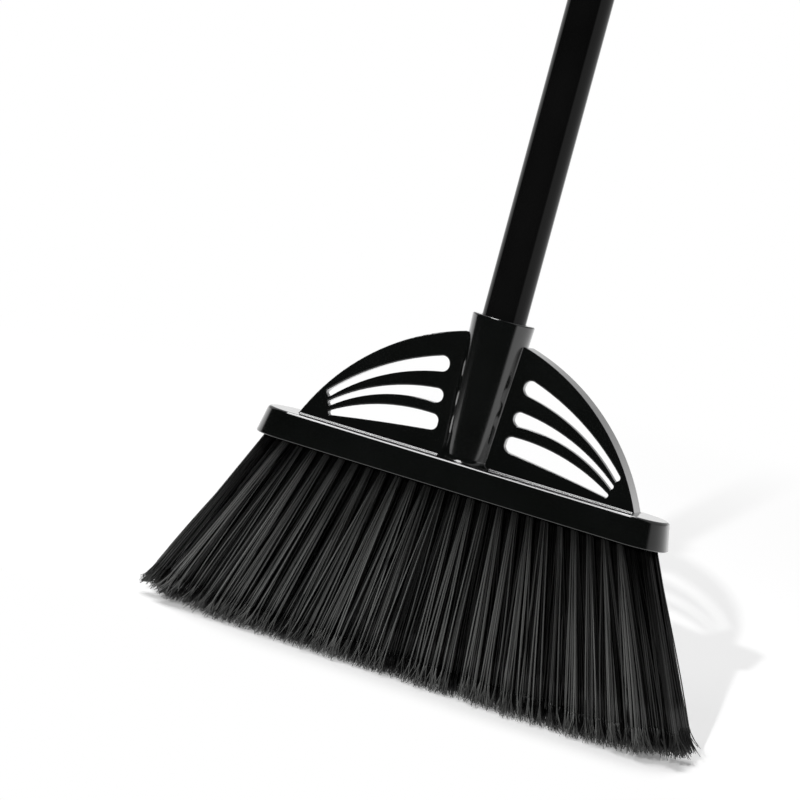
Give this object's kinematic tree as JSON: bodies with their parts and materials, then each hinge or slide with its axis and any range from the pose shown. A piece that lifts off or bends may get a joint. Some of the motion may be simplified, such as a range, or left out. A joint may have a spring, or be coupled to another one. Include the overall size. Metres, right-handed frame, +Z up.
{
  "type": "upright broom",
  "caption": "Upright broom: moulded fan-shaped head with slotted wings and flared bristles on a sectional screw-together tube handle with foam sleeve, rubber grip and hang cap.",
  "frame": {"origin": "on the floor, under the handle's axis, at the middle of the bristle tips", "axes": "+Z up along the handle, +X along the head, -Y towards the front of the head, where the wings are flush"},
  "size_m": [0.3308, 0.058, 1.4135],
  "materials": {
    "head_plastic": "gloss black moulded plastic",
    "bristle": "black extruded filament, satin",
    "staple_steel": "bare flat wire",
    "tube_enamel": "gloss black stoved enamel on steel tube",
    "thread_plastic": "satin black moulded plastic",
    "foam": "matte charcoal closed-cell foam",
    "grip_rubber": "matte black moulded rubber",
    "cap_plastic": "satin yellow-orange moulded plastic"
  },
  "bodies": {
    "head": {"head_moulding": "head_plastic", "front_tuft_row": "bristle", "front_inner_tuft_row": "bristle", "middle_tuft_row": "bristle", "rear_inner_tuft_row": "bristle", "rear_tuft_row": "bristle", "tuft_staples": "staple_steel"},
    "lower_section": {"lower_tube": "tube_enamel", "head_thread_tip": "thread_plastic", "lower_plug": "thread_plastic"},
    "lower_middle_section": {"lower_middle_tube": "tube_enamel", "lower_middle_bush": "thread_plastic", "lower_middle_plug": "thread_plastic"},
    "upper_middle_section": {"upper_middle_tube": "tube_enamel", "upper_middle_bush": "thread_plastic", "upper_middle_plug": "thread_plastic", "foam_sleeve": "foam"},
    "top_section": {"top_tube": "tube_enamel", "top_bush": "thread_plastic", "rubber_grip": "grip_rubber", "hang_cap": "cap_plastic"}
  },
  "joints": [
    {"name": "head_screw", "type": "slide", "parent": "head", "child": "lower_section", "axis": [0, 0, 1], "range_m": [0, 0.085]},
    {"name": "lower_screw", "type": "slide", "parent": "lower_section", "child": "lower_middle_section", "axis": [0, 0, 1], "range_m": [0, 0.06]},
    {"name": "middle_screw", "type": "slide", "parent": "lower_middle_section", "child": "upper_middle_section", "axis": [0, 0, 1], "range_m": [0, 0.06]},
    {"name": "upper_screw", "type": "slide", "parent": "upper_middle_section", "child": "top_section", "axis": [0, 0, 1], "range_m": [0, 0.06]}
  ]
}
